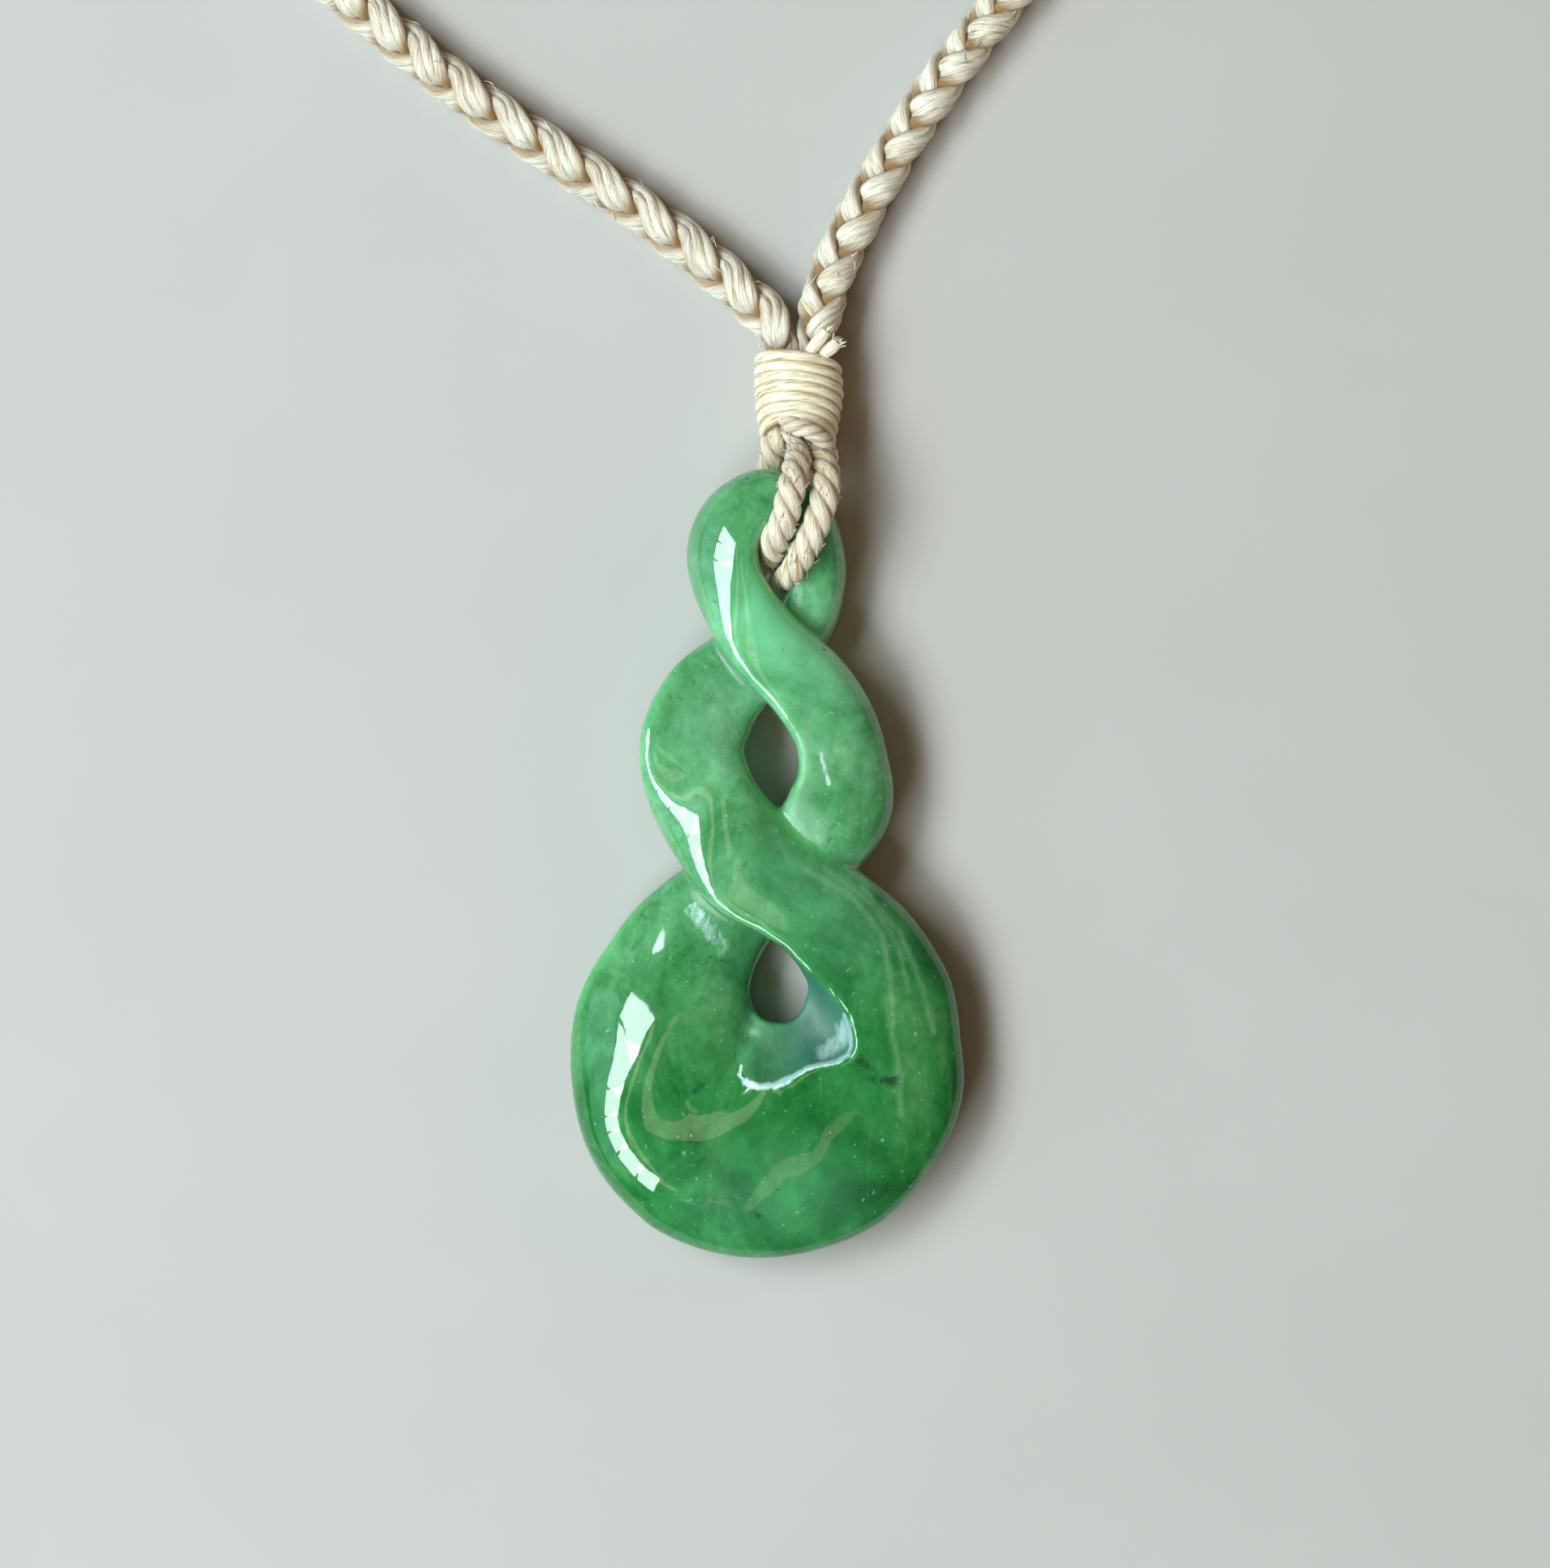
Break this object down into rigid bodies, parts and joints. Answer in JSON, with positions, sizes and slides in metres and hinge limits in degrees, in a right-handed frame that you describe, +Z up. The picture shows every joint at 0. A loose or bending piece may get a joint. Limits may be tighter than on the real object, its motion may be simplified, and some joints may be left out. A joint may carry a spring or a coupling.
{
  "type": "greenstone twist pendant necklace",
  "caption": "Polished greenstone twist pendant hung by a plied cord and a thread whipping from a plaited tan neck cord, closed at the back by a plain bone barrel",
  "frame": {"origin": "on the table, under the middle of the laid-out necklace's bounding box", "axes": "+Z up from the table that the necklace lies on, -Y towards the foot of the stone, +Y towards the closure behind the neck"},
  "size_m": [0.1446, 0.2342, 0.0083],
  "materials": {
    "greenstone": "polished, slightly translucent",
    "plied_cord": "waxed twisted fibre",
    "waxed_thread": "smooth waxed thread",
    "plaited_cord": "waxed plait",
    "bone": "polished bone"
  },
  "bodies": {
    "root": {"pendant": "greenstone", "bail_turn_left": "plied_cord", "bail_turn_right": "plied_cord", "whipping": "waxed_thread", "tail_end_left": "waxed_thread", "tail_end_right": "waxed_thread", "braid_left": "plaited_cord", "braid_right": "plaited_cord", "closure": "bone"}
  },
  "joints": []
}
